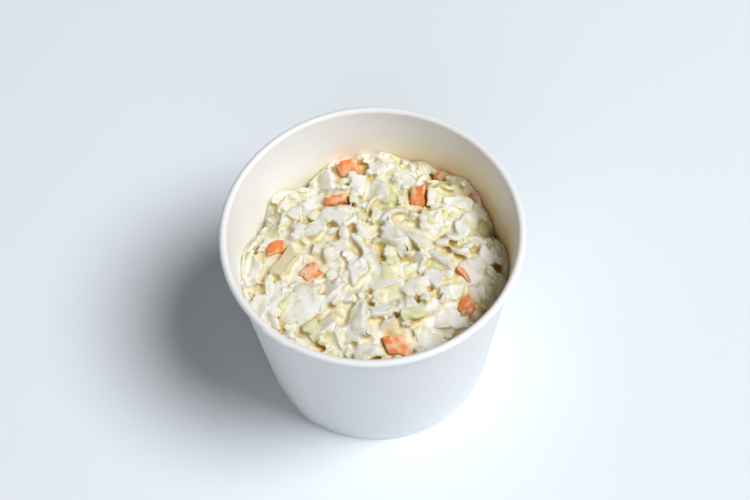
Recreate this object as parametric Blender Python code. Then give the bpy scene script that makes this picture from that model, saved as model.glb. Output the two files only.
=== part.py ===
"""Coleslaw in a white paper cup: a rolled-rim tub of coated board, filled with chopped, dressed cabbage.

Metres, +Z up. The origin is the centre of the cup's foot, on the surface that it stands on.
"""

import math
import random

import bmesh
import bpy
from mathutils import Vector, noise

# Cup: a 355 ml (12 oz) food tub
RIM_DIAMETER = 0.096
CUP_HEIGHT = 0.072
FOOT_DIAMETER = 0.0755
BOARD = 0.0005
LIP_DIAMETER = 0.0025
HEM_HEIGHT = 0.0055
HEM_LAYERS = 2
FOOT_ROUNDING = 0.0003
LAP_WIDTH = 0.007
LAP_AZIMUTH = math.radians(223)
CUP_SEGMENTS = 72
LIP_STEPS_BELOW = 4
LIP_STEPS_OVER = 6

# Fit between pieces that touch
GAP = 0.0003

# Coleslaw: a low mound of overlapping chopped pieces, which sinks in a few places beside the wall
CROWN_LEVEL = 0.0568
WALL_LEVEL = 0.0512
SHOULDER_POWER = 3.2
SWELL_HEIGHT = 0.0012
SWELL_LENGTH = 0.022
DIP_AZIMUTHS = [math.radians(angle) for angle in (18, 121, 152, 248, 310)]
DIP_DEPTH = 0.0072
DIP_RADIUS = 0.0075
CHIP_COUNT = 240
CHIP_LENGTH = 0.0086
CHIP_WIDTH = 0.0066
CHIP_SLOPE = 0.40
CHIP_LIFT = 0.0012
CREVICE_DEPTH = 0.0030
HEAP_CELLS = 54
SEED = 11

LIP_RADIUS = LIP_DIAMETER / 2
LIP_CENTRE = Vector((RIM_DIAMETER / 2 - LIP_RADIUS, CUP_HEIGHT - LIP_RADIUS))
FOOT_RADIUS = FOOT_DIAMETER / 2
NECK_RADIUS = RIM_DIAMETER / 2 - LIP_DIAMETER + BOARD
WALL_FLARE = (NECK_RADIUS - FOOT_RADIUS) / LIP_CENTRE.y
GOLDEN_ANGLE = math.pi * (3 - math.sqrt(5))


def outer_radius(z):
    """Outside of the cup's conical wall at height z."""
    return FOOT_RADIUS + WALL_FLARE * z


def inner_radius(z):
    """Inside of the cup's conical wall at height z."""
    return outer_radius(z) - BOARD


def clear_scene():
    for obj in list(bpy.data.objects):
        bpy.data.objects.remove(obj)


def make_material(name, colour, roughness):
    material = bpy.data.materials.new(name)
    material.use_nodes = True
    shader = material.node_tree.nodes["Principled BSDF"]
    shader.inputs["Base Color"].default_value = (*colour, 1)
    shader.inputs["Roughness"].default_value = roughness
    shader.inputs["Metallic"].default_value = 0
    return material


def make_object(name, bm, material, smooth_below):
    """One sub-part. Edges bent by less than smooth_below are shaded smooth."""
    bmesh.ops.recalc_face_normals(bm, faces=bm.faces)
    mesh = bpy.data.meshes.new(name)
    bm.to_mesh(mesh)
    bm.free()
    mesh.materials.append(material)
    mesh.shade_smooth()
    mesh.set_sharp_from_angle(angle=smooth_below)
    obj = bpy.data.objects.new(name, mesh)
    bpy.context.scene.collection.objects.link(obj)
    return obj


def turned(profile, steps):
    """A bmesh turned about Z from a closed outline of (radius, height) points."""
    bm = bmesh.new()
    verts = [bm.verts.new((radius, 0, height)) for radius, height in profile]
    edges = [bm.edges.new((a, b)) for a, b in zip(verts, verts[1:] + verts[:1])]
    bmesh.ops.spin(
        bm, geom=verts + edges, cent=(0, 0, 0), axis=(0, 0, 1),
        angle=math.tau, steps=steps, use_merge=True,
    )
    bmesh.ops.remove_doubles(bm, verts=bm.verts, dist=1e-6)
    return bm


def arc(centre, radius, start, end, steps):
    """Points on a circle from one angle to another, both ends included."""
    angles = [start + (end - start) * i / steps for i in range(steps + 1)]
    return [centre + radius * Vector((math.cos(a), math.sin(a))) for a in angles]


def wall_profile():
    """The wall's outline: up the outside, round the rolled lip, down the inside and round the folded hem."""
    reach = (NECK_RADIUS - LIP_CENTRE.x) / LIP_RADIUS
    lip_start = -math.acos(reach)
    hem_in = HEM_LAYERS * BOARD
    foot_out = Vector((FOOT_RADIUS - FOOT_ROUNDING, FOOT_ROUNDING))
    foot_in = Vector((inner_radius(0) - hem_in + FOOT_ROUNDING, FOOT_ROUNDING))
    return [
        *arc(foot_out, FOOT_ROUNDING, -math.pi / 2, 0, 2),
        *arc(LIP_CENTRE, LIP_RADIUS, lip_start, 0, LIP_STEPS_BELOW),
        *arc(LIP_CENTRE, LIP_RADIUS, 0, math.pi, LIP_STEPS_OVER)[1:],
        Vector((inner_radius(HEM_HEIGHT), HEM_HEIGHT)),
        Vector((inner_radius(HEM_HEIGHT) - hem_in, HEM_HEIGHT)),
        *arc(foot_in, FOOT_ROUNDING, math.pi, 1.5 * math.pi, 2),
    ]


def raise_side_lap(bm):
    """Where the blank's two ends overlap, the outside stands out by one board, with a crisp edge at each side."""
    pitch = math.tau / CUP_SEGMENTS
    edge = round(LAP_AZIMUTH / pitch) * pitch
    lap_angle = LAP_WIDTH / NECK_RADIUS
    crisp = 0.06 * pitch
    for vert in bm.verts:
        radius = vert.co.xy.length
        turn = (math.atan2(vert.co.y, vert.co.x) - edge + math.pi) % math.tau - math.pi
        column = round(turn / pitch)
        if column not in (0, 1, 2, 3):
            continue
        turn = (0, crisp, lap_angle - crisp, lap_angle)[column]
        outside = radius > outer_radius(vert.co.z) - 0.2 * BOARD and vert.co.z > FOOT_ROUNDING
        if outside and column in (1, 2):
            radius += BOARD
        azimuth = edge + turn
        vert.co.xy = radius * math.cos(azimuth), radius * math.sin(azimuth)


def build_wall(material):
    bm = turned(wall_profile(), CUP_SEGMENTS)
    raise_side_lap(bm)
    return make_object("cup_wall", bm, material, math.radians(35))


def build_base(material):
    """The disc of board that closes the cup, held on the hem a little above the foot."""
    low = HEM_HEIGHT + GAP
    edge = inner_radius(low) - GAP
    fold = 0.6 * BOARD
    profile = [(0, low), (edge - fold, low), (edge, low + fold), (edge, low + BOARD), (0, low + BOARD)]
    bm = turned(profile, CUP_SEGMENTS)
    return make_object("cup_base", bm, material, math.radians(35))


class Chips:
    """The flat chopped pieces that make up the top of the heap, each a small sloping plate."""

    def __init__(self, reach):
        pick = random.Random(SEED)
        self.plates = []
        for i in range(CHIP_COUNT):
            distance = reach * math.sqrt((i + 0.5) / CHIP_COUNT)
            azimuth = i * GOLDEN_ANGLE
            centre = distance * Vector((math.cos(azimuth), math.sin(azimuth)))
            turn = pick.uniform(0, math.pi)
            along = Vector((math.cos(turn), math.sin(turn)))
            size = pick.uniform(0.75, 1.25)
            fall = pick.uniform(0, math.tau)
            slope = CHIP_SLOPE * pick.uniform(0.1, 1) * Vector((math.cos(fall), math.sin(fall)))
            lift = pick.uniform(-CHIP_LIFT, CHIP_LIFT)
            self.plates.append((centre, along, size, slope, lift))

    def relief(self, point):
        """Height of the highest plate over a point, or the bottom of a crevice."""
        height = -CREVICE_DEPTH
        for centre, along, size, slope, lift in self.plates:
            offset = point - centre
            if abs(offset.dot(along)) > size * CHIP_LENGTH / 2:
                continue
            if abs(offset.cross(along)) > size * CHIP_WIDTH / 2:
                continue
            height = max(height, lift + slope.dot(offset))
        return height


def mound(point, reach):
    """The heap's smooth level: a broad crown that falls away to the cup's wall, a slow swell and the dips."""
    share = min(1, point.length / reach)
    level = WALL_LEVEL + (CROWN_LEVEL - WALL_LEVEL) * (1 - share**SHOULDER_POWER)
    level += SWELL_HEIGHT * noise.noise(Vector((*(point / SWELL_LENGTH), SEED)))
    for azimuth in DIP_AZIMUTHS:
        centre = reach * Vector((math.cos(azimuth), math.sin(azimuth)))
        level -= DIP_DEPTH * math.exp(-((point - centre).length / DIP_RADIUS) ** 2)
    return level


def square_to_disc(x, y):
    """Maps the square from -1 to 1 onto the unit disc with cells of nearly one size."""
    return Vector((x * math.sqrt(1 - y * y / 2), y * math.sqrt(1 - x * x / 2)))


def build_coleslaw(material):
    """The heap as one solid: the chips' uneven top, sides along the cup's wall and a flat underside."""
    low = HEM_HEIGHT + 2 * GAP + BOARD
    top_reach = inner_radius(WALL_LEVEL) - GAP
    chips = Chips(top_reach)
    bm = bmesh.new()
    bmesh.ops.create_grid(bm, x_segments=HEAP_CELLS, y_segments=HEAP_CELLS, size=1)
    for vert in bm.verts:
        place = square_to_disc(vert.co.x, vert.co.y)
        level = mound(place * top_reach, top_reach) + chips.relief(place * top_reach)
        vert.co = (*place * (inner_radius(level) - GAP), level)
    sides = bmesh.ops.extrude_edge_only(bm, edges=[e for e in bm.edges if e.is_boundary])
    for vert in (g for g in sides["geom"] if isinstance(g, bmesh.types.BMVert)):
        vert.co.xy *= (inner_radius(low) - GAP) / vert.co.xy.length
        vert.co.z = low
    bmesh.ops.holes_fill(bm, edges=[e for e in bm.edges if e.is_boundary])
    return make_object("coleslaw", bm, material, math.radians(20))


def main():
    clear_scene()
    board = make_material("coated_board", (0.88, 0.89, 0.90), 0.45)
    dressed_cabbage = make_material("dressed_cabbage", (0.86, 0.84, 0.70), 0.35)
    build_wall(board)
    build_base(board)
    build_coleslaw(dressed_cabbage)


main()
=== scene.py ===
import math
import random

import bmesh
import bpy
import numpy as np
from mathutils import Matrix, Vector, noise
from mathutils.bvhtree import BVHTree
from mathutils.kdtree import KDTree


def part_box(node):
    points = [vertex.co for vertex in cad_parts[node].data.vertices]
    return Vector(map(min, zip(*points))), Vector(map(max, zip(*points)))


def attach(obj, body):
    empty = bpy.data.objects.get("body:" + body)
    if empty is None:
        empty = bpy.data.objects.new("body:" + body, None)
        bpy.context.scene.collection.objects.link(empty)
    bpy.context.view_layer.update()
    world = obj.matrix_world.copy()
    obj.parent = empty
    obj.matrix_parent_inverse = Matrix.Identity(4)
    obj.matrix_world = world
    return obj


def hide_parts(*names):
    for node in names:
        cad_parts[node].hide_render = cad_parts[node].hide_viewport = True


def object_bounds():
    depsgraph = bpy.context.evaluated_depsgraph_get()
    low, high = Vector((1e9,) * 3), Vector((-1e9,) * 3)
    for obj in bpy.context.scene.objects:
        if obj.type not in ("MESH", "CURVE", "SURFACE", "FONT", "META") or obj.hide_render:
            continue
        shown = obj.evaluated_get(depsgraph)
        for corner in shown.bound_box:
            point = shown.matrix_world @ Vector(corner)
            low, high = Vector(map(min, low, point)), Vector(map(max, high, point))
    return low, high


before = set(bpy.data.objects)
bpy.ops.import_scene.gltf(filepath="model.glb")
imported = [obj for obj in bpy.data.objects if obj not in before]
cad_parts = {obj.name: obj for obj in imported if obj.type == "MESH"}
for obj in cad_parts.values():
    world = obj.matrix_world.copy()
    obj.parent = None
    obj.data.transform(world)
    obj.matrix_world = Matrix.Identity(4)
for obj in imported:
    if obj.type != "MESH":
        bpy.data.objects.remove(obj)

cad_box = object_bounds()
MM = 0.001

# Cup wall
# White coated board, rolled into a cone and sealed where its two ends lap over each other. Its top edge is
# curled outwards into a round lip, and its lower edge is folded in round the base as a hem.

RIM_RADIUS = cad_box[1][0]
CUP_HEIGHT = cad_box[1][2]
FOOT_RADIUS = 37.75 * MM
BOARD = 0.5 * MM
LIP_RADIUS = 1.25 * MM
HEM_HEIGHT = 5.5 * MM
HEM_DEPTH = 2 * BOARD
FOOT_ROUNDING = 0.3 * MM
CUP_SEGMENTS = 256
WALL_COURSES = 14
LAP_AZIMUTH = math.radians(223)
LAP_WIDTH = 7 * MM
LAP_RISE = 0.9 * BOARD
LAP_CUT_SHARE = 0.12
LAP_SETTLE_SHARE = 0.7
# Painted shade: the warm colour multiplied into the liner above the salad.
PAINTED_WALL_SHADE_COLOUR = (1.0, 0.79, 0.44, 1)
LIP_CENTRE = Vector((RIM_RADIUS - LIP_RADIUS, CUP_HEIGHT - LIP_RADIUS))
NECK_RADIUS = RIM_RADIUS - 2 * LIP_RADIUS + BOARD
WALL_FLARE = (NECK_RADIUS - FOOT_RADIUS) / LIP_CENTRE.y


class Value:
    """A number in a shader. Arithmetic on it adds Math nodes."""

    def __init__(self, finish, socket):
        self.finish = finish
        self.socket = socket

    def math(self, operation, *operands):
        node = self.finish.add("ShaderNodeMath", {"operation": operation}, dict(enumerate(operands)))
        return Value(self.finish, node.outputs[0])

    def __add__(self, other):
        return self.math("ADD", self, other)

    def __sub__(self, other):
        return self.math("SUBTRACT", self, other)

    def __rsub__(self, other):
        return self.math("SUBTRACT", other, self)

    def __mul__(self, other):
        return self.math("MULTIPLY", self, other)

    def __pow__(self, other):
        return self.math("POWER", self, other)

    def between(self, low, high):
        """0 below low, 1 above high, and an even rise from one to the other."""
        settings = {"clamp": True}
        node = self.finish.add("ShaderNodeMapRange", settings, {0: self, 1: low, 2: high, 3: 0, 4: 1})
        return Value(self.finish, node.outputs[0])

    __radd__ = __add__
    __rmul__ = __mul__


class Finish:
    """A procedural material, built up from nodes round one Principled shader."""

    def __init__(self, name, **constants):
        self.material = bpy.data.materials.new(name)
        self.material.use_nodes = True
        self.tree = self.material.node_tree
        self.shader = self.tree.nodes["Principled BSDF"]
        for socket, value in constants.items():
            self.shader.inputs[socket.replace("_", " ").title().replace("Ior", "IOR")].default_value = value

    def add(self, kind, settings=None, sockets=None):
        node = self.tree.nodes.new(kind)
        for name, value in (settings or {}).items():
            setattr(node, name, value)
        for key, value in (sockets or {}).items():
            self.feed(node.inputs[key], value)
        return node

    def feed(self, socket, value):
        if isinstance(value, Value):
            value = value.socket
        if isinstance(value, bpy.types.NodeSocket):
            self.tree.links.new(value, socket)
        else:
            socket.default_value = value

    def set(self, name, value):
        self.feed(self.shader.inputs[name], value)

    def place(self):
        return self.add("ShaderNodeTexCoord").outputs["Object"]

    def attribute(self, name, output="Fac"):
        node = self.add("ShaderNodeAttribute", {"attribute_name": name})
        return Value(self, node.outputs[output])

    def noise(self, where, size, detail=2, roughness=0.5):
        """Cloudy values round 0.5, in patches of about the given size."""
        sockets = {"Vector": where, "Scale": 1 / size, "Detail": detail, "Roughness": roughness}
        node = self.add("ShaderNodeTexNoise", {}, sockets)
        return Value(self, node.outputs["Fac"])

    def blend(self, factor, low, high, mode="MIX"):
        settings = {"data_type": "RGBA", "blend_type": mode}
        node = self.add("ShaderNodeMix", settings, {0: factor, 6: low, 7: high})
        return node.outputs[2]

    def bump(self, height, depth, normal=None):
        """Relief: a height from 0 to 1 raises the surface by up to depth."""
        sockets = {"Height": height, "Distance": depth, "Strength": 1}
        node = self.add("ShaderNodeBump", {}, sockets)
        if normal:
            self.feed(node.inputs["Normal"], normal)
        return node.outputs["Normal"]


def outer_radius(z):
    return FOOT_RADIUS + WALL_FLARE * z


def inner_radius(z):
    return outer_radius(z) - BOARD


def arc(centre, radius, start, end, steps):
    """Points on a circle from one angle to another, both ends included."""
    angles = [start + (end - start) * i / steps for i in range(steps + 1)]
    return [centre + radius * Vector((math.cos(a), math.sin(a))) for a in angles]


def slope(start, end, steps):
    """Points on a straight line between two points, without the two ends."""
    return [start.lerp(end, i / steps) for i in range(1, steps)]


def turned(profile, steps):
    """A bmesh turned about the cup's axis from a closed outline of (radius, height) points."""
    bm = bmesh.new()
    verts = [bm.verts.new((radius, 0, height)) for radius, height in profile]
    edges = [bm.edges.new(pair) for pair in zip(verts, verts[1:] + verts[:1])]
    bmesh.ops.spin(
        bm, geom=verts + edges, cent=(0, 0, 0), axis=(0, 0, 1),
        angle=math.tau, steps=steps, use_merge=True,
    )
    bmesh.ops.remove_doubles(bm, verts=bm.verts, dist=1e-6)
    bmesh.ops.recalc_face_normals(bm, faces=bm.faces)
    return bm


def new_piece(name, bm, smooth_below, *finishes):
    """A piece of the object, at the origin, with its place in its mesh."""
    mesh = bpy.data.meshes.new(name)
    bm.to_mesh(mesh)
    bm.free()
    mesh.shade_smooth()
    mesh.set_sharp_from_angle(angle=smooth_below)
    for finish in finishes:
        mesh.materials.append(finish.material)
    piece = bpy.data.objects.new(name, mesh)
    bpy.context.scene.collection.objects.link(piece)
    return piece


def wall_profile():
    lip_start = -math.acos((NECK_RADIUS - LIP_CENTRE.x) / LIP_RADIUS)
    foot_out = Vector((FOOT_RADIUS - FOOT_ROUNDING, FOOT_ROUNDING))
    foot_in = Vector((inner_radius(0) - HEM_DEPTH + FOOT_ROUNDING, FOOT_ROUNDING))
    foot_curve = arc(foot_out, FOOT_ROUNDING, -math.pi / 2, 0, 4)
    lip_curve = arc(LIP_CENTRE, LIP_RADIUS, lip_start, math.pi, 30)
    hem_top = Vector((inner_radius(HEM_HEIGHT), HEM_HEIGHT))
    hem_edge = hem_top - Vector((HEM_DEPTH, 0))
    return [
        *foot_curve,
        *slope(foot_curve[-1], lip_curve[0], WALL_COURSES),
        *lip_curve,
        *slope(lip_curve[-1], hem_top, WALL_COURSES),
        hem_top,
        hem_edge,
        *arc(foot_in, FOOT_ROUNDING, math.pi, 1.5 * math.pi, 4),
    ]


def raise_side_lap(bm):
    """The outer end of the blank stands out by one board, with a cut edge, and settles back past the lap."""
    pitch = math.tau / CUP_SEGMENTS
    edge = round(LAP_AZIMUTH / pitch) * pitch
    lap_angle = LAP_WIDTH / NECK_RADIUS
    settle_angle = LAP_SETTLE_SHARE * lap_angle
    for vert in bm.verts:
        radius = vert.co.xy.length
        outside = radius > outer_radius(vert.co.z) - 0.2 * BOARD and vert.co.z > FOOT_ROUNDING
        turn = (math.atan2(vert.co.y, vert.co.x) - edge + math.pi) % math.tau - math.pi
        if not outside or turn < -0.5 * pitch:
            continue
        if turn < 0.5 * pitch:
            turn = 0
        elif turn < 1.5 * pitch:
            turn = LAP_CUT_SHARE * pitch
        rise = 1 - min(1, max(0, (turn - lap_angle) / settle_angle))
        if turn > 0:
            radius += LAP_RISE * rise * rise * (3 - 2 * rise)
        azimuth = edge + turn
        vert.co.xy = radius * math.cos(azimuth), radius * math.sin(azimuth)


def board_finish(name, colour, fleck_colour, shade_painted=False):
    """Coated paper board: faint cloudy fibre under a smooth film. It may carry painted warm shade near the
    salad.
    """
    finish = Finish(name, ior=1.45)
    where = finish.place()
    cloud = finish.noise(where, 6 * MM, 4, 0.6)
    fibre = finish.noise(where, 0.7 * MM, 3, 0.6)
    board = finish.blend(cloud.between(0.3, 0.7), (*colour, 1), (*fleck_colour, 1))
    # Painted shade: the liner turns darker and warm yellow near the heap, fading upwards, most on the right.
    if shade_painted:
        height = Value(finish, finish.add("ShaderNodeSeparateXYZ", {}, {0: where}).outputs["Z"])
        above = height - finish.attribute("contact")
        painted_shade = finish.attribute("shade_painted") * (1 - above.between(-1 * MM, finish.attribute("painted_shade"))) ** 1.6
        board = finish.blend(painted_shade, board, PAINTED_WALL_SHADE_COLOUR, "MULTIPLY")
    finish.set("Base Color", board)
    finish.set("Roughness", 0.36 + 0.14 * cloud)
    relief = finish.bump(cloud, 0.10 * MM)
    finish.set("Normal", finish.bump(fibre, 0.012 * MM, relief))
    return finish


white_board = board_finish("white_board", (0.885, 0.895, 0.905), (0.870, 0.882, 0.895))
liner = board_finish("cream_liner", (0.935, 0.94, 0.95), (0.925, 0.93, 0.94), shade_painted=True)

wall_bm = turned(wall_profile(), CUP_SEGMENTS)
raise_side_lap(wall_bm)
for face in wall_bm.faces:
    middle = face.calc_center_median()
    inside = middle.xy.length < outer_radius(middle.z) - 0.5 * BOARD and middle.z > HEM_HEIGHT
    face.material_index = int(inside and face.normal.dot(Vector((middle.x, middle.y, 0))) < 0)
cup_wall = new_piece("paper_wall", wall_bm, math.radians(40), white_board, liner)
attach(cup_wall, "root")
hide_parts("cup_wall")

# Cup base
# A flat disc of the same board, sealed into the wall a little above the foot, with its edge turned down
# between the wall and the hem. Only its underside shows.

BASE_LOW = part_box("cup_base")[0][2]
BASE_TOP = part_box("cup_base")[1][2]
BASE_CLEARANCE = 0.05 * MM


def base_profile():
    edge = inner_radius(BASE_LOW) - BASE_CLEARANCE
    fold = 0.6 * BOARD
    dish = edge - 3 * MM
    return [
        Vector((0, BASE_LOW)),
        Vector((dish, BASE_LOW)),
        Vector((edge - fold, BASE_LOW)),
        *arc(Vector((edge - fold / 2, BASE_LOW + fold / 2)), fold / 2, -math.pi / 2, 0, 3),
        Vector((edge, BASE_TOP)),
        Vector((0, BASE_TOP)),
    ]


cup_base = new_piece("paper_base", turned(base_profile(), CUP_SEGMENTS), math.radians(40), white_board)
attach(cup_base, "root")
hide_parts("cup_base")

# Salad: how the heap grows
# The salad is spooned in, so its pieces lie every way, pressed together, up to the level of the CAD heap.
# The level is kept on a square grid of cells, and each piece comes to rest on those below it.

SEED = 20
CELL = 0.6 * MM
CELLS = 150
HEAP_REACH = inner_radius(50 * MM)
SOLID_REACH = 0.985 * inner_radius(42 * MM)
LEVEL_OFF_GRID = 48 * MM
BED_DEPTH = 8 * MM
PRESSED_SHARE = 0.14
WALL_CLEARANCE = 0.15 * MM
PROUD = 1.9 * MM
SURFACE_BLUR = 5
SLOPE_BLUR = 4
SLOPE_CELLS = 4
SPOTS_TRIED = 24
pick = random.Random(SEED)


def blurred(levels, passes):
    """Each cell's level becomes the mean of its neighbourhood, several times over."""
    for _ in range(passes):
        padded = np.pad(levels, 1, mode="edge")
        levels = (padded[:-2, 1:-1] + padded[2:, 1:-1] + padded[1:-1, :-2] + padded[1:-1, 2:] + levels) / 5
    return levels


def widened(levels, passes):
    """Each cell's level becomes the highest of its neighbourhood, several times over."""
    for _ in range(passes):
        padded = np.pad(levels, 1, mode="edge")
        sides = [padded[:-2, 1:-1], padded[2:, 1:-1], padded[1:-1, :-2], padded[1:-1, 2:]]
        levels = np.maximum.reduce([levels, *sides])
    return levels


class Heap:
    """The salad's level while the cup is filled, and the level and ceiling that it is filled up to."""

    def __init__(self, node):
        """Starts as a bed some way below the smoothed top of a CAD node."""
        solid = BVHTree.FromPolygons(
            [v.co for v in node.data.vertices], [p.vertices for p in node.data.polygons],
        )
        self.target = np.full((CELLS, CELLS), LEVEL_OFF_GRID)
        middles = (np.arange(CELLS) + 0.5 - CELLS / 2) * CELL
        self.columns, self.rows = np.meshgrid(middles, middles, indexing="ij")
        above = CUP_HEIGHT + 10 * MM
        for i in range(CELLS):
            for j in range(CELLS):
                x, y = middles[i], middles[j]
                spread = SOLID_REACH / max(math.hypot(x, y), SOLID_REACH)
                hit = solid.ray_cast(Vector((x * spread, y * spread, above)), Vector((0, 0, -1)))[0]
                if hit:
                    self.target[i, j] = hit.z
        self.target = blurred(self.target, SURFACE_BLUR)
        self.ceiling = self.target + PROUD
        self.level = self.target - BED_DEPTH

    def cell_of(self, points):
        """The columns and rows of the cells that the points are over."""
        cells = np.floor(points[:, :2] / CELL + CELLS / 2).astype(int)
        cells = np.clip(cells, 0, CELLS - 1)
        return cells[:, 0], cells[:, 1]

    def lift(self, points):
        """How far up the points go to rest on the heap, where a small share of them may press in."""
        gaps = self.level[self.cell_of(points)] - points[:, 2]
        spare = int(len(gaps) * PRESSED_SHARE)
        return np.partition(gaps, -1 - spare)[-1 - spare]

    def looseness(self, points):
        """The mean height of the points over the heap: least for a piece that lies snugly."""
        return float(np.mean(points[:, 2] - self.level[self.cell_of(points)]))

    def cover(self, points):
        """Raises the heap to the points of a piece that has come to rest."""
        np.maximum.at(self.level, self.cell_of(points), points[:, 2])

    def downhill(self, x, y):
        """The slope of the heap at a place, as rise over run, pointing downhill."""
        level = blurred(self.level, SLOPE_BLUR)
        last = CELLS - 1 - SLOPE_CELLS
        i, j = (min(max(int(c / CELL + CELLS / 2), SLOPE_CELLS), last) for c in (x, y))
        run = 2 * SLOPE_CELLS * CELL
        across = level[i - SLOPE_CELLS, j] - level[i + SLOPE_CELLS, j]
        along = level[i, j - SLOPE_CELLS] - level[i, j + SLOPE_CELLS]
        return Vector((across / run, along / run))

    def hungry_spot(self, passes):
        """Of a few places picked at random, the one that lacks most."""
        best = None
        lack = blurred(self.target - self.level, passes)
        for _ in range(SPOTS_TRIED):
            distance = math.sqrt(pick.random()) * HEAP_REACH
            azimuth = pick.uniform(0, math.tau)
            x, y = distance * math.cos(azimuth), distance * math.sin(azimuth)
            i, j = int(x / CELL + CELLS / 2), int(y / CELL + CELLS / 2)
            if best is None or lack[i, j] > best[0]:
                best = (lack[i, j], x, y)
        return best


heap = Heap(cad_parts["coleslaw"])

# Salad: how a piece is chopped
# Each kind has a set of cut shapes. A shape starts as a flat sheet that is knifed across its corners, gets
# its thickness and soft edges, and is then bent. Every piece in the heap is one of them, turned and sized.

CORNER_DRIFT = 0.2
CUT_PLACES = (0.66, 1.02)
SHORTEST_EDGE = 0.22
NICK_DEPTH = 1.0 * MM
WANDER = 0.75 * MM
WANDER_WIDTH = 2.6 * MM
CRINKLE_WIDTH = 3.4 * MM
LUMP_DEPTH = 0.10 * MM
LUMP_WIDTH = 1.6 * MM
WEDGE = 0.25
CUT_EDGE_ANGLE = math.radians(50)
LARGEST_ROUNDING = 0.42


def nick(bm, share, depth):
    """Pulls some of the outline's points inwards, which leaves torn notches and corners."""
    outline = [vert for vert in bm.verts if vert.is_boundary]
    for vert in outline:
        inner = [e.other_vert(vert).co for e in vert.link_edges if not e.is_boundary]
        if inner and pick.random() < share:
            inward = sum(inner, Vector()) / len(inner) - vert.co
            vert.co += inward.normalized() * min(depth, 0.8 * inward.length) * pick.uniform(0.4, 1)


def chopped(length, width, thickness, grid, cuts, crinkle, bow, edge, torn=0):
    """One chopped piece, lying flat round the origin."""
    bm = bmesh.new()
    bmesh.ops.create_grid(bm, x_segments=grid[0], y_segments=grid[1], size=0.5)
    drift = (-CORNER_DRIFT, CORNER_DRIFT)
    corners = [Vector((pick.uniform(*drift), pick.uniform(*drift))) for _ in range(4)]
    for vert in bm.verts:
        u, v = vert.co.x + 0.5, vert.co.y + 0.5
        low = corners[0].lerp(corners[1], u)
        high = corners[2].lerp(corners[3], u)
        vert.co.xy += low.lerp(high, v)
        vert.co.x *= length
        vert.co.y *= width
    for _ in range(cuts):
        azimuth = pick.uniform(0, math.tau)
        across = Vector((math.cos(azimuth) * width, math.sin(azimuth) * length, 0)).normalized()
        reach = Vector((across.x * length / 2, across.y * width / 2)).length
        bmesh.ops.bisect_plane(
            bm, geom=bm.verts[:] + bm.edges[:] + bm.faces[:], dist=1e-7,
            plane_co=across * reach * pick.uniform(*CUT_PLACES), plane_no=across, clear_outer=True,
        )
    bmesh.ops.remove_doubles(bm, verts=bm.verts, dist=SHORTEST_EDGE * width / grid[1])
    nick(bm, torn, NICK_DEPTH)
    shift = Vector((pick.uniform(0, 99), pick.uniform(0, 99), 0))
    for vert in bm.verts:
        place = vert.co / WANDER_WIDTH + shift
        vert.co.x += WANDER * noise.noise(place)
        vert.co.y += WANDER * noise.noise(place + Vector((50, 0, 0)))
    bmesh.ops.solidify(bm, geom=bm.faces[:], thickness=thickness)
    bmesh.ops.recalc_face_normals(bm, faces=bm.faces)
    sharp = [e for e in bm.edges if e.is_manifold and e.calc_face_angle() > CUT_EDGE_ANGLE]
    bmesh.ops.bevel(
        bm, geom=sharp, offset=min(edge, LARGEST_ROUNDING * thickness), offset_type="OFFSET",
        affect="EDGES", segments=2, profile=0.5, material=-1,
    )
    middle = sum((v.co for v in bm.verts), Vector()) / len(bm.verts)
    lean = Vector((pick.uniform(-1, 1), pick.uniform(-1, 1)))
    for vert in bm.verts:
        vert.co -= middle
        vert.co.z *= 1 + WEDGE * lean.dot(vert.co.xy) / length
        wave = noise.noise(Vector((vert.co.x, vert.co.y, 0)) / CRINKLE_WIDTH + 2 * shift)
        lump = noise.noise(vert.co / LUMP_WIDTH + 3 * shift)
        vert.co.z += crinkle * wave + LUMP_DEPTH * lump
        vert.co.z -= bow * (vert.co.x / length) ** 2 * 4
    return bm


class Shape:
    """A cut shape as plain arrays, ready to be repeated many times in one mesh."""

    def __init__(self, bm):
        bmesh.ops.recalc_face_normals(bm, faces=bm.faces)
        bm.verts.index_update()
        self.points = np.array([v.co for v in bm.verts])
        self.corners = np.array([v.index for f in bm.faces for v in f.verts])
        self.sizes = np.array([len(f.verts) for f in bm.faces])
        middles = [f.calc_center_median() for f in bm.faces]
        halves = [(e.verts[0].co + e.verts[1].co) / 2 for e in bm.edges]
        self.probes = np.concatenate([self.points, np.array(middles), np.array(halves)])
        bm.free()


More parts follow.
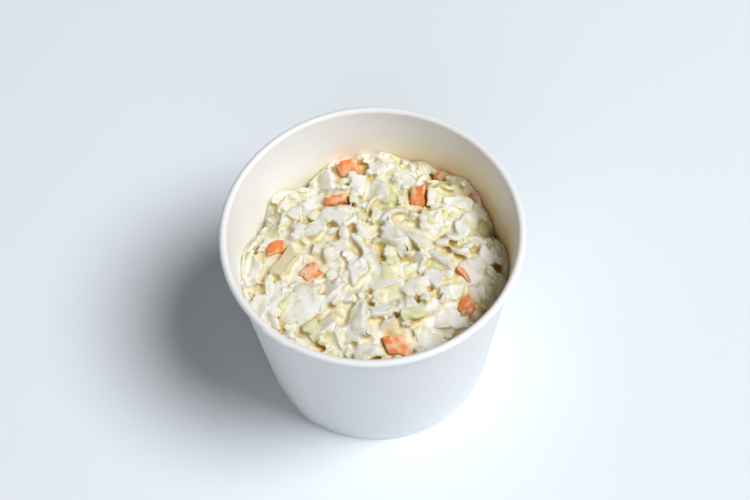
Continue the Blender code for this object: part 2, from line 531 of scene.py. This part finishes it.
class Kind:
    """All pieces of one kind of cut. They end up as one mesh."""

    def __init__(self, name, share, shapes, tints, finish):
        self.name = name
        self.share = share
        self.shapes = shapes
        self.tints = tints
        self.finish = finish
        self.placed = []

    def add(self, shape, turn, move, tint):
        self.placed.append((shape, turn, move, tint))

    def build(self):
        """Joins the pieces. Each point carries its piece's tint, how sheltered it is, and its film and
        painted top light.
        """
        points, corners, starts, grain, tints = [], [], [], [], []
        first_point, first_corner = 0, 0
        for shape, turn, move, tint in self.placed:
            points.append(shape.points @ turn.T + move)
            corners.append(shape.corners + first_point)
            starts.append(np.cumsum(shape.sizes) - shape.sizes + first_corner)
            grain.append(shape.points[shape.corners][:, :2] + 40 * MM * len(points))
            tints.append(np.tile((*tint, 1.0), (len(shape.points), 1)))
            first_point += len(shape.points)
            first_corner += len(shape.corners)
        points = np.concatenate(points)
        mesh = bpy.data.meshes.new(self.name)
        mesh.vertices.add(first_point)
        mesh.vertices.foreach_set("co", points.ravel())
        mesh.loops.add(first_corner)
        mesh.loops.foreach_set("vertex_index", np.concatenate(corners))
        mesh.polygons.add(sum(len(s) for s in starts))
        mesh.polygons.foreach_set("loop_start", np.concatenate(starts))
        mesh.update(calc_edges=True)
        mesh.uv_layers.new(name="grain").data.foreach_set("uv", np.concatenate(grain).ravel())
        tint_layer = mesh.attributes.new("tint", "FLOAT_COLOR", "POINT")
        tint_layer.data.foreach_set("color", np.concatenate(tints).ravel())
        set_shelter(mesh, points)
        set_film_and_top_light(mesh)
        mesh.shade_smooth()
        mesh.set_sharp_from_angle(angle=math.radians(62))
        mesh.materials.append(self.finish.material)
        piece = bpy.data.objects.new(self.name, mesh)
        bpy.context.scene.collection.objects.link(piece)
        return piece


def turned_by(yaw, tilt, fall):
    """Turned about the vertical by yaw, then tipped by tilt towards the direction fall."""
    tip = Matrix.Rotation(fall, 3, "Z") @ Matrix.Rotation(tilt, 3, "Y") @ Matrix.Rotation(-fall, 3, "Z")
    return np.array(tip @ Matrix.Rotation(yaw, 3, "Z"))


# Salad: how it looks wet
# Every piece is coated with thin, creamy dressing. White film is painted on what faces up and left off what
# is steep, partly dressing and partly painted light on the tops; painted shade makes creases and hollows
# golden.

SHELTER_BEARINGS = 12
SHELTER_REACHES = [1.2 * MM, 2.0 * MM, 3.2 * MM, 5.0 * MM, 8.0 * MM]
# The white film on upward faces is partly dressing and partly painted light that makes the tops lighter than
# the sides.
UPWARD_FILM_AND_LIGHT_START = 0.38
UPWARD_FILM_AND_LIGHT_RANGE = 0.52
FILM_PATCH = 3.0 * MM
FILM_AND_TOP_LIGHT_COLOUR = (0.835, 0.837, 0.795, 1)
# Painted shade: the crease and deep colours darken the salad and turn it golden where the heap hides the
# sky.
PAINTED_CREASE_SHADE_COLOUR = (0.98, 0.90, 0.61, 1)
PAINTED_DEEP_SHADE_COLOUR = (0.76, 0.50, 0.14, 1)
VEIN_COLOUR = (0.97, 0.97, 0.90, 1)
VEIN_LENGTHS = (0.35, 1.6, 1.0)
GLOW_SHARE = 0.2
GLOW_DEPTH = 0.45 * MM
GLOW_COLOUR = (0.75, 0.7, 0.6)


def set_shelter(mesh, points):
    """Stores what share of the sky the heap round each point hides: 0 in the open, 1 in a deep gap."""
    around = widened(heap.level, 1)
    hidden = np.zeros(len(points))
    for step in range(SHELTER_BEARINGS):
        bearing = math.tau * step / SHELTER_BEARINGS
        steepest = np.zeros(len(points))
        for reach in SHELTER_REACHES:
            away = points + np.array((reach * math.cos(bearing), reach * math.sin(bearing), 0))
            rise = (around[heap.cell_of(away)] - points[:, 2]) / reach
            steepest = np.maximum(steepest, rise)
        hidden += steepest / np.sqrt(1 + steepest**2) / SHELTER_BEARINGS
    mesh.attributes.new("shelter", "FLOAT", "POINT").data.foreach_set("value", hidden)


def set_film_and_top_light(mesh):
    """Stores how much white film is painted on each point: most on what faces up, partly dressing, partly
    painted top light.
    """
    normals = np.empty(len(mesh.vertices) * 3)
    mesh.vertices.foreach_get("normal", normals)
    film = np.clip((normals[2::3] - UPWARD_FILM_AND_LIGHT_START) / UPWARD_FILM_AND_LIGHT_RANGE, 0, 1)
    mesh.attributes.new("film", "FLOAT", "POINT").data.foreach_set("value", film)


def wet_finish(name, weight, scale, radius):
    """A wet, translucent food surface. Light passes some way through it, red further than blue."""
    return Finish(
        name, subsurface_weight=weight, subsurface_scale=scale, subsurface_radius=radius,
        ior=1.40, specular_ior_level=0.3, coat_weight=0.05, coat_roughness=0.15,
    )


def with_painted_crease_shade(finish, colour):
    """Painted shade: the colour turns darker and golden in creases and hollows, where the heap hides the
    sky.
    """
    shelter = finish.attribute("shelter")
    colour = finish.blend(shelter.between(0.40, 0.80), colour, PAINTED_CREASE_SHADE_COLOUR, "MULTIPLY")
    return finish.blend(shelter.between(0.70, 1.0), colour, PAINTED_DEEP_SHADE_COLOUR, "MULTIPLY")


def coat(finish, colour, cover, relief=None, depth=0.16 * MM):
    """Coats a finish with white film in soft patches on what faces up, partly painted top light, over its
    colour and relief.
    """
    film = finish.noise(finish.place(), FILM_PATCH)
    top_lit_film = finish.attribute("film") * film.between(0.20, 0.50) * cover
    creamy = finish.blend(top_lit_film, colour, FILM_AND_TOP_LIGHT_COLOUR)
    # Painted light and shade: white film lightens the tops, and creases and hollows get painted shade.
    finish.set("Base Color", with_painted_crease_shade(finish, creamy))
    finish.set("Roughness", 0.32 + 0.26 * film)
    finish.set("Normal", finish.bump(film, depth, relief))


def cabbage_finish(name, vein_depth, film_cover):
    """Wet cabbage under the film, veined along the grain."""
    finish = wet_finish(name, GLOW_SHARE, GLOW_DEPTH, GLOW_COLOUR)
    grain = finish.add("ShaderNodeUVMap", {"uv_map": "grain"}).outputs["UV"]
    stretched = finish.add("ShaderNodeMapping", {}, {"Vector": grain, "Scale": VEIN_LENGTHS}).outputs[0]
    vein = finish.noise(stretched, 1.6 * MM, 3, 0.55)
    tint = finish.attribute("tint", "Color").socket
    veined = finish.blend(vein.between(0.40, 0.70) * 0.25, tint, VEIN_COLOUR)
    coat(finish, veined, film_cover, finish.bump(vein, vein_depth))
    return finish


# Salad: white rib pieces
# Thick, crisp pieces of the cabbage's white ribs, 2 to 3.5 mm thick. They are nearly flat, with clean
# knife cuts and soft corners.

RIB_SHAPES = 18
rib_shapes = [
    Shape(chopped(
        length=pick.uniform(6.5, 11.5) * MM, width=pick.uniform(5.0, 8.0) * MM,
        thickness=pick.uniform(1.8, 3.6) * MM, grid=(8, 6), cuts=pick.choice((2, 2, 3, 4)),
        crinkle=0.4 * MM, bow=pick.uniform(-0.3, 1.0) * MM, edge=0.5 * MM, torn=0.3,
    )) for _ in range(RIB_SHAPES)
]
rib_tints = [(0.69, 0.63, 0.47), (0.68, 0.61, 0.42), (0.68, 0.60, 0.37), (0.69, 0.64, 0.48)]
rib_finish = cabbage_finish("white_rib", 0.05 * MM, 1.0)
ribs = Kind("cabbage_ribs", 0.36, rib_shapes, rib_tints, rib_finish)

# Salad: leaf flakes
# Thin pieces of the pale inner leaves, 1 to 2 mm thick. The knife leaves them as uneven flakes, curved and
# a little crinkled, as the leaf was in the head.

LEAF_SHAPES = 24
leaf_shapes = [
    Shape(chopped(
        length=pick.uniform(7.0, 14.0) * MM, width=pick.uniform(5.2, 9.4) * MM,
        thickness=pick.uniform(1.0, 1.8) * MM, grid=(10, 8), cuts=pick.choice((2, 3, 4)),
        crinkle=pick.uniform(0.6, 1.4) * MM, bow=pick.uniform(0.2, 1.8) * MM, edge=0.35 * MM, torn=0.3,
    )) for _ in range(LEAF_SHAPES)
]
leaf_tints = [(0.68, 0.62, 0.39), (0.67, 0.61, 0.33), (0.69, 0.63, 0.42), (0.66, 0.62, 0.28)]
leaf_finish = cabbage_finish("pale_leaf", 0.09 * MM, 0.9)
leaves = Kind("cabbage_leaves", 0.38, leaf_shapes, leaf_tints, leaf_finish)

# Salad: green leaf flakes
# Pieces from nearer the outside of the head, yellow green and thinner than the inner leaves. They are
# smaller and fewer, and less dressing hides their colour.

GREEN_SHAPES = 12
green_shapes = [
    Shape(chopped(
        length=pick.uniform(5.0, 9.0) * MM, width=pick.uniform(3.4, 6.0) * MM,
        thickness=pick.uniform(0.8, 1.2) * MM, grid=(8, 6), cuts=pick.choice((1, 2, 3)),
        crinkle=pick.uniform(0.5, 1.1) * MM, bow=pick.uniform(0.2, 1.5) * MM, edge=0.3 * MM, torn=0.3,
    )) for _ in range(GREEN_SHAPES)
]
green_tints = [(0.73, 0.70, 0.30), (0.68, 0.66, 0.24), (0.75, 0.72, 0.36), (0.62, 0.62, 0.20)]
green_finish = cabbage_finish("green_leaf", 0.09 * MM, 0.45)
greens = Kind("green_leaves", 0.11, green_shapes, green_tints, green_finish)

# Salad: shreds
# Narrow strips and slivers that the blade leaves between the larger pieces, 6 to 11 mm long. They lie
# across the gaps.

SHRED_SHAPES = 14
shred_shapes = [
    Shape(chopped(
        length=pick.uniform(6.0, 11.0) * MM, width=pick.uniform(1.6, 2.8) * MM,
        thickness=pick.uniform(1.0, 1.8) * MM, grid=(10, 3), cuts=1,
        crinkle=pick.uniform(0.3, 0.8) * MM, bow=pick.uniform(0.2, 1.8) * MM, edge=0.4 * MM, torn=0.1,
    )) for _ in range(SHRED_SHAPES)
]
shred_tints = [(0.72, 0.68, 0.53), (0.71, 0.66, 0.46), (0.68, 0.65, 0.35)]
shred_finish = cabbage_finish("pale_shred", 0.06 * MM, 0.9)
shreds = Kind("cabbage_shreds", 0.08, shred_shapes, shred_tints, shred_finish)

# Salad: bits
# Crumbs of rib and leaf, 3 to 6 mm long, the smallest that the chopping leaves. They sink into the gaps
# between the larger pieces.

BIT_SHAPES = 12
bit_shapes = [
    Shape(chopped(
        length=pick.uniform(3.2, 5.8) * MM, width=pick.uniform(2.4, 4.2) * MM,
        thickness=pick.uniform(0.8, 1.8) * MM, grid=(4, 3), cuts=pick.choice((1, 2)),
        crinkle=0.3 * MM, bow=pick.uniform(0.0, 0.5) * MM, edge=0.35 * MM, torn=0.2,
    )) for _ in range(BIT_SHAPES)
]
bit_finish = cabbage_finish("cabbage_bit", 0.05 * MM, 0.8)
bits = Kind("cabbage_bits", 0.14, bit_shapes, rib_tints + leaf_tints + green_tints[:2], bit_finish)

# Salad: carrot
# Small dice and slivers of raw carrot. They are bright orange where they are bare, and paler where the
# dressing clings.

CARROT_FLESH = (0.93, 0.34, 0.11)


def carrot_finish():
    finish = wet_finish("carrot", 0.5, 1.6 * MM, (1.0, 0.45, 0.18))
    where = finish.place()
    patches = finish.noise(where, 2.6 * MM, 3, 0.55)
    ridges = finish.noise(where, 0.8 * MM, 2, 0.5)
    flesh = finish.blend(ridges, (0.80, 0.20, 0.04, 1), (0.88, 0.33, 0.09, 1))
    finish.set("Base Color", finish.blend(patches.between(0.42, 0.62) * 0.8, flesh, (0.89, 0.65, 0.47, 1)))
    finish.set("Roughness", 0.24 + 0.2 * patches)
    relief = finish.bump(ridges, 0.10 * MM)
    finish.set("Normal", finish.bump(patches, 0.25 * MM, relief))
    return finish


CARROT_CUTS = [
    # x, y, length, width, thickness in mm; yaw, tilt, fall in degrees
    (-6.6, 37.0, 6.4, 5.4, 5.0, 10, 20, 260),
    (-11.3, 23.0, 8.4, 3.4, 2.6, 4, 8, 270),
    (14.8, 21.5, 9.6, 5.0, 3.2, 78, 38, 262),
    (-31.0, 6.0, 7.2, 5.6, 4.4, 12, 10, 240),
    (-20.0, -4.0, 6.4, 5.2, 4.6, 35, 14, 250),
    (5.6, -32.0, 7.0, 7.6, 4.8, 8, 20, 275),
    (28.0, -19.5, 6.0, 5.6, 4.8, 30, 10, 230),
    (28.6, -7.5, 7.6, 2.6, 1.2, 118, 40, 20),
    (23.4, 33.0, 4.2, 2.8, 3.0, 50, 16, 220),
    (35.6, 24.5, 4.0, 2.2, 2.6, 120, 12, 200),
    (-4.4, -34.5, 3.6, 1.6, 1.2, 30, 6, 270),
]
carrots = Kind("carrot_dice", 0, [], [CARROT_FLESH], carrot_finish())

# Salad: filling the cup
# The cut cabbage goes in until the heap is nearly full. Then come the carrot pieces that show, some broad
# flakes of cabbage, and the last cabbage, which settles round them up to the brim of the heap.

SHOWN_CUTS = [
    # x, y, width across and along in mm, kind
    (-23.4, -17.1, 12.6, 12.1, ribs),
    (-13.8, -12.2, 7.4, 9.8, ribs),
    (-5.7, -7.2, 10.2, 10.8, leaves),
    (0.3, -1.4, 11.7, 8.7, ribs),
    (7.8, 8.2, 9.8, 11.2, ribs),
    (5.2, -9.8, 7.4, 13.5, greens),
    (-7.4, -22.9, 11.5, 9.6, ribs),
    (-31.7, -11.7, 6.3, 15.9, leaves),
    (33.6, -11.5, 10.5, 12.3, ribs),
    (14.7, -27.9, 11.4, 9.4, leaves),
    (-3.7, -33.3, 10.3, 7.0, leaves),
    (-14.6, 31.7, 8.8, 11.9, ribs),
    (-3.8, 28.4, 6.6, 9.2, ribs),
    (7.5, 34.3, 6.6, 9.3, ribs),
    (23.5, 26.6, 6.5, 6.6, greens),
    (32.3, 13.0, 10.8, 6.4, leaves),
    (18.5, 8.8, 8.6, 8.9, ribs),
    (24.4, -22.5, 10.4, 8.4, ribs),
    (11.5, -12.0, 9.5, 7.3, leaves),
    (-26.0, 10.4, 9.7, 7.6, leaves),
]
SHOWN_FORMS = {
    # thickness, crinkle, bow in mm
    "cabbage_ribs": (2.4, 0.6, 0.8),
    "cabbage_leaves": (1.4, 1.1, 1.4),
    "green_leaves": (1.1, 1.1, 1.2),
}
SHOWN_STAGE = 1.6 * MM
SHOWN_CORE = 0.72
LARGER_SIZES = (1.0, 1.25)
LAST_SIZES = (0.95, 1.25)
LAST_PATIENCE = 400
TRIES = 4
SCATTER = 0.8 * MM
NUDGE = 0.1 * MM
UNEVENNESS = 0.34
ON_EDGE_SHARE = 0.05
ON_EDGE_TILTS = (55, 90)
FULLNESS = -0.2 * MM
HOLLOW = 1.8 * MM
CARROT_STAGE = 4.6 * MM
CARROT_PROUD = 3.0 * MM
CARROT_CORE = 0.88
CARROT_BED_REACH = 0.6
CARROT_BED_RISE = 1
cabbage_kinds = [ribs, leaves, greens, shreds, bits]
reserved = np.zeros((CELLS, CELLS), dtype=bool)


def settle(shape, turn, x, y):
    """Where a turned shape comes to rest at a place, or None if the cup's wall is in its way."""
    points = shape.probes @ turn.T + np.array((x, y, 0))
    for _ in range(3):
        move = np.array((0, 0, heap.lift(points)))
        rest = points + move
        distance = np.hypot(rest[:, 0], rest[:, 1])
        excess = distance - (inner_radius(rest[:, 2]) - WALL_CLEARANCE)
        worst = int(np.argmax(excess))
        if excess[worst] <= 0:
            return rest, points[0] - shape.probes[0] @ turn.T + move
        inward = -points[worst, :2] / distance[worst] * (excess[worst] + NUDGE)
        points = points + np.array((*inward, 0))
    return None


def drop_one(kind, x, y, sizes):
    """Tries a few cuts and ways to lie, and keeps the one that lies most snugly."""
    best = None
    downhill = heap.downhill(x, y)
    for _ in range(TRIES):
        shape = pick.choice(kind.shapes)
        lean = downhill + Vector((pick.gauss(0, UNEVENNESS), pick.gauss(0, UNEVENNESS)))
        tilt = math.atan(lean.length)
        if pick.random() < ON_EDGE_SHARE:
            tilt = math.radians(pick.uniform(*ON_EDGE_TILTS))
        turn = turned_by(pick.uniform(0, math.tau), tilt, math.atan2(lean.y, lean.x))
        turn = turn * pick.uniform(*sizes)
        result = settle(shape, turn, x + pick.gauss(0, SCATTER), y + pick.gauss(0, SCATTER))
        if result is None:
            continue
        rest, move = result
        cells = heap.cell_of(rest)
        if np.max(rest[:, 2] - heap.ceiling[cells]) > 0 or np.any(reserved[cells]):
            continue
        score = heap.looseness(rest)
        if best is None or score < best[0]:
            best = (score, shape, turn, move, rest)
    if best is None:
        return False
    _, shape, turn, move, rest = best
    kind.add(shape, turn, move, pick.choice(kind.tints))
    heap.cover(rest)
    return True


def fill(kinds, until, passes, sizes=(0.85, 1.15), patience=150):
    """Drops pieces where the heap lacks most, until it lacks less than the given height everywhere."""
    shares = [kind.share for kind in kinds]
    refused = 0
    while refused < patience:
        lack, x, y = heap.hungry_spot(passes)
        if lack < until:
            refused += 1
            continue
        kind = pick.choices(kinds, shares)[0]
        if drop_one(kind, x, y, sizes):
            refused = max(0, refused - 2)
        else:
            refused += 1


def lay(kind, shape, turn, x, y, stands_out, core):
    """Lays a chosen piece at its place and keeps the middle of it, a share core of its width, uncovered."""
    result = settle(shape, turn, x, y)
    if result is None:
        return
    rest, move = result
    too_high = np.max(rest[:, 2] - heap.target[heap.cell_of(rest)]) - stands_out
    sink = np.array((0, 0, max(0, too_high)))
    tint = kind.tints[0] if len(kind.tints) == 1 else pick.choice(kind.tints)
    kind.add(shape, turn, move - sink, tint)
    heap.cover(rest - sink)
    middle = np.mean(rest, axis=0)
    reserved[heap.cell_of(middle + (rest - middle) * core)] = True


for x, y, length, width, thickness, *_ in CARROT_CUTS:
    spots = np.stack([heap.columns, heap.rows], axis=-1) - np.array((x, y)) * MM
    below = np.linalg.norm(spots, axis=-1) < CARROT_BED_REACH * length * MM
    heap.ceiling[below] = heap.target[below] - (thickness - CARROT_BED_RISE) * MM
fill(cabbage_kinds, CARROT_STAGE, SURFACE_BLUR)
fill([bits, shreds], CARROT_STAGE + 0.8 * MM, 2)
for x, y, length, width, thickness, yaw, tilt, fall in CARROT_CUTS:
    shape = Shape(chopped(
        length=length * MM, width=width * MM, thickness=thickness * MM, grid=(7, 6), cuts=2,
        crinkle=0.3 * MM, bow=0.2 * MM, edge=0.5 * MM, torn=0.12,
    ))
    turn = turned_by(math.radians(yaw), math.radians(tilt), math.radians(fall))
    lay(carrots, shape, turn, x * MM, y * MM, CARROT_PROUD, CARROT_CORE)
heap.ceiling = heap.target + PROUD
fill([ribs, leaves, greens], SHOWN_STAGE, SURFACE_BLUR, LARGER_SIZES)
for x, y, across, along, kind in SHOWN_CUTS:
    thickness, crinkle, bow = SHOWN_FORMS[kind.name]
    shape = Shape(chopped(
        length=across * MM, width=along * MM, thickness=thickness * MM, grid=(10, 9),
        cuts=pick.choice((3, 4)), crinkle=crinkle * MM, bow=bow * MM, edge=0.4 * MM, torn=0.25,
    ))
    lean = heap.downhill(x * MM, y * MM) + Vector((pick.gauss(0, 0.2), pick.gauss(0, 0.2)))
    turn = turned_by(pick.gauss(0, 0.25), math.atan(lean.length), math.atan2(lean.y, lean.x))
    lay(kind, shape, turn, x * MM, y * MM, PROUD, SHOWN_CORE)
fill([ribs, leaves, greens], FULLNESS, SURFACE_BLUR, LAST_SIZES, LAST_PATIENCE)
fill([bits, shreds], HOLLOW, 1, patience=LAST_PATIENCE)


def report_size(name, mesh):
    print(name, sum(len(p.vertices) - 2 for p in mesh.polygons), "triangles")


pieces = []
for kind in [*cabbage_kinds, carrots]:
    piece = kind.build()
    pieces.append(piece)
    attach(piece, "root")
    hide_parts("coleslaw")
    report_size(f"{kind.name}: {len(kind.placed)} pieces,", piece.data)

# Salad: the painted shade on the wall
# The liner above the salad is painted darker and warm yellow, as painted shade and golden bounced light,
# widest on the shaded right. It is strongest where the heap touches the wall and fades upwards.

PAINTED_SHADE_LOW = 2.5 * MM
PAINTED_SHADE_HIGH = 22 * MM
PAINTED_SHADE_AZIMUTH = math.radians(20)
PAINTED_SHADE_LEAST = 0.08
CONTACT_INSET = 2.5 * MM


def points_of(mesh):
    points = np.empty(len(mesh.vertices) * 3)
    mesh.vertices.foreach_get("co", points)
    return points.reshape(-1, 3)


wall_points = points_of(cup_wall.data)
azimuths = np.arctan2(wall_points[:, 1], wall_points[:, 0])
beside = (HEAP_REACH - CONTACT_INSET) * np.stack([np.cos(azimuths), np.sin(azimuths)], axis=1)
# Painted shade strength round the wall: most on the shaded right, least on the lit left.
facing = np.clip(0.5 + 0.5 * np.cos(azimuths - PAINTED_SHADE_AZIMUTH), 0, 1) ** 2
wall_values = {
    "contact": blurred(widened(heap.level, 1), 4)[heap.cell_of(beside)],
    "painted_shade": PAINTED_SHADE_LOW + (PAINTED_SHADE_HIGH - PAINTED_SHADE_LOW) * facing,
    "shade_painted": PAINTED_SHADE_LEAST + (1 - PAINTED_SHADE_LEAST) * facing,
}
for name, values in wall_values.items():
    cup_wall.data.attributes.new(name, "FLOAT", "POINT").data.foreach_set("value", values)

# Salad: dressing
# The creamy dressing holds the heap together. It fills the heart of the cup and gathers in the corners
# between the pieces, so it is cast from them: all joined into one skin, rounded off and drawn in a little.

SKIN_VOXEL = 0.48 * MM
SKIN_REACH = 0.38 * MM
SKIN_DRAWN_IN = 0.03 * MM
SKIN_ROUNDS = 2
HEART_LEVEL = 40 * MM
HEART_FOOT = HEART_LEVEL - 3 * MM
HEART_CELLS = 90
HEART_DEPTH = 1.7 * MM
PRESSED_INTO_WALL = 0.2 * MM
LOW_CLEARANCE = 0.5 * MM
POCKET_WIDTH = 4.5 * MM
POCKET_DEPTH = 6 * MM
POCKET_START = 0.1
BRIM_DEPTH = 0.3 * MM
BRIM_START = 0.95
BRIM_END = 0.985


def heart():
    """The closed body under the chopped pieces. Beside the wall it rises nearly to the top of the heap."""
    brim = blurred(widened(heap.level, 2), 3) - BRIM_DEPTH
    bm = bmesh.new()
    bmesh.ops.create_grid(bm, x_segments=HEART_CELLS, y_segments=HEART_CELLS, size=1)
    for vert in bm.verts:
        x, y = vert.co.x, vert.co.y
        place = Vector((x * math.sqrt(1 - y * y / 2), y * math.sqrt(1 - x * x / 2), 0))
        spot = place * HEAP_REACH
        i, j = heap.cell_of(np.array([spot]))
        share = min(1, max(0, (place.length - BRIM_START) / (BRIM_END - BRIM_START)))
        pocket = POCKET_DEPTH * max(0, noise.noise(spot / POCKET_WIDTH) - POCKET_START)
        inner = heap.target[i[0], j[0]] - HEART_DEPTH - pocket
        level = inner + share * max(0, brim[i[0], j[0]] - inner)
        vert.co = place * (inner_radius(level) + PRESSED_INTO_WALL) + Vector((0, 0, level))
    walls = bmesh.ops.extrude_edge_only(bm, edges=[e for e in bm.edges if e.is_boundary])
    for vert in (g for g in walls["geom"] if isinstance(g, bmesh.types.BMVert)):
        vert.co.xy *= (inner_radius(HEART_FOOT) + PRESSED_INTO_WALL) / vert.co.xy.length
        vert.co.z = HEART_FOOT
    bmesh.ops.holes_fill(bm, edges=[e for e in bm.edges if e.is_boundary])
    bmesh.ops.recalc_face_normals(bm, faces=bm.faces)
    return bm


cast_bm = heart()
for piece in pieces[:-1]:
    cast_bm.from_mesh(piece.data)
mould = new_piece("mould", cast_bm, math.radians(40))


def reskin(name, voxel):
    remesh = mould.modifiers.new(name, "REMESH")
    remesh.mode = "VOXEL"
    remesh.voxel_size = voxel


def swell(name, distance):
    displace = mould.modifiers.new(name, "DISPLACE")
    displace.mid_level = 0
    displace.strength = distance


def round_off(name, rounds):
    smooth = mould.modifiers.new(name, "SMOOTH")
    smooth.factor = 0.5
    smooth.iterations = rounds


reskin("join", SKIN_VOXEL)
swell("close_gaps", SKIN_REACH)
reskin("rejoin", SKIN_VOXEL)
round_off("rounding", SKIN_ROUNDS)
swell("draw_in", -SKIN_REACH - SKIN_DRAWN_IN)
bpy.context.view_layer.update()
cast_mesh = bpy.data.meshes.new_from_object(mould.evaluated_get(bpy.context.evaluated_depsgraph_get()))
bpy.data.objects.remove(mould)


def keep_largest_body(bm):
    """Deletes what isn't joined to the largest body, such as the skins of closed hollows."""
    bm.verts.ensure_lookup_table()
    unseen = set(bm.verts)
    bodies = []
    while unseen:
        front = [unseen.pop()]
        body = []
        while front:
            vert = front.pop()
            body.append(vert)
            near = [e.other_vert(vert) for e in vert.link_edges]
            fresh = [v for v in near if v in unseen]
            unseen.difference_update(fresh)
            front.extend(fresh)
        bodies.append(body)
    largest = max(bodies, key=len)
    spare = [v for body in bodies if body is not largest for v in body]
    bmesh.ops.delete(bm, geom=spare, context="VERTS")


skin_bm = bmesh.new()
skin_bm.from_mesh(cast_mesh)
keep_largest_body(skin_bm)
bmesh.ops.bisect_plane(
    skin_bm, geom=skin_bm.verts[:] + skin_bm.edges[:] + skin_bm.faces[:], dist=1e-7,
    plane_co=(0, 0, HEART_LEVEL), plane_no=(0, 0, -1), clear_outer=True,
)
walls = bmesh.ops.extrude_edge_only(skin_bm, edges=[e for e in skin_bm.edges if e.is_boundary])
low = BASE_TOP + BASE_CLEARANCE
for vert in (g for g in walls["geom"] if isinstance(g, bmesh.types.BMVert)):
    vert.co.xy *= (inner_radius(low) - LOW_CLEARANCE) / vert.co.xy.length
    vert.co.z = low
bmesh.ops.holes_fill(skin_bm, edges=[e for e in skin_bm.edges if e.is_boundary])
bmesh.ops.recalc_face_normals(skin_bm, faces=skin_bm.faces)


def dressing_finish():
    """Dressing over the tint of the nearest chopped piece."""
    finish = wet_finish("dressing", GLOW_SHARE, GLOW_DEPTH, GLOW_COLOUR)
    coat(finish, finish.attribute("tint", "Color").socket, 1, depth=0.2 * MM)
    return finish


def set_nearest_tint(mesh, points):
    """Stores for each point of the skin the tint of the chopped piece that it lies on."""
    known = [vert.co for piece in pieces for vert in piece.data.vertices]
    tree = KDTree(len(known))
    for index, place in enumerate(known):
        tree.insert(place, index)
    tree.balance()
    tints = []
    for piece in pieces:
        values = np.empty(len(piece.data.vertices) * 4)
        piece.data.attributes["tint"].data.foreach_get("color", values)
        tints.append(values.reshape(-1, 4))
    tints = np.concatenate(tints)
    nearest = [tree.find(point)[1] for point in points]
    layer = mesh.attributes.new("tint", "FLOAT_COLOR", "POINT")
    layer.data.foreach_set("color", tints[nearest].ravel())


dressing = new_piece("dressing", skin_bm, math.radians(80), dressing_finish())
skin_points = points_of(dressing.data)
set_shelter(dressing.data, skin_points)
set_film_and_top_light(dressing.data)
set_nearest_tint(dressing.data, skin_points)
report_size("dressing:", dressing.data)
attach(dressing, "root")
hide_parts("coleslaw")

# Table, lights and camera
# A plain pale table, a large soft window high on the right, softer light from the room in front and a
# faint warm one from behind on the left. The camera looks down steeply on the cup.

TABLE_REACH = 3
table_bm = bmesh.new()
bmesh.ops.create_grid(table_bm, x_segments=2, y_segments=2, size=TABLE_REACH)
table_finish = Finish("pale_table", base_color=(0.82, 0.885, 0.955, 1), roughness=0.6)
table = new_piece("table", table_bm, math.radians(40), table_finish)

LIGHT_AIM = Vector((0, 0, 40 * MM))
LIGHT_DISTANCE = 3.0


def soft_light(name, azimuth, elevation, size, power, colour):
    """A round soft light at an angle round the cup and above the table, in degrees."""
    turn, rise = math.radians(azimuth), math.radians(elevation)
    towards = Vector((math.cos(rise) * math.cos(turn), math.cos(rise) * math.sin(turn), math.sin(rise)))
    data = bpy.data.lights.new(name, "AREA")
    data.shape = "DISK"
    data.size = size
    data.energy = power
    data.color = colour
    light = bpy.data.objects.new(name, data)
    light.location = LIGHT_AIM + LIGHT_DISTANCE * towards
    light.rotation_euler = towards.to_track_quat("Z", "Y").to_euler()
    bpy.context.scene.collection.objects.link(light)


soft_light("window", azimuth=-18, elevation=59, size=1.6, power=92, colour=(1.0, 0.997, 0.992))
soft_light("room", azimuth=-94, elevation=34, size=2.4, power=19, colour=(0.94, 0.98, 1.0))
soft_light("fill", azimuth=160, elevation=38, size=2.0, power=7, colour=(1.0, 0.88, 0.68))

world = bpy.data.worlds.new("daylight")
world.use_nodes = True
world.node_tree.nodes["Background"].inputs["Color"].default_value = (0.95, 0.97, 1.0, 1)
world.node_tree.nodes["Background"].inputs["Strength"].default_value = 0.004
bpy.context.scene.world = world
bpy.context.scene.view_settings.view_transform = "Standard"

CAMERA_PLACE = Vector((0.52, -296.6, 537.0)) * MM
CAMERA_TIP = math.radians(31.86)
CAMERA_ROLL = math.radians(-3.07)
LENS = 85
camera_data = bpy.data.cameras.new("camera")
camera_data.lens = LENS
camera_data.sensor_width = 36
camera = bpy.data.objects.new("camera", camera_data)
camera_turn = Matrix.Rotation(CAMERA_TIP, 4, "X") @ Matrix.Rotation(CAMERA_ROLL, 4, "Z")
camera.matrix_world = Matrix.Translation(CAMERA_PLACE) @ camera_turn
bpy.context.scene.collection.objects.link(camera)
bpy.context.scene.camera = camera
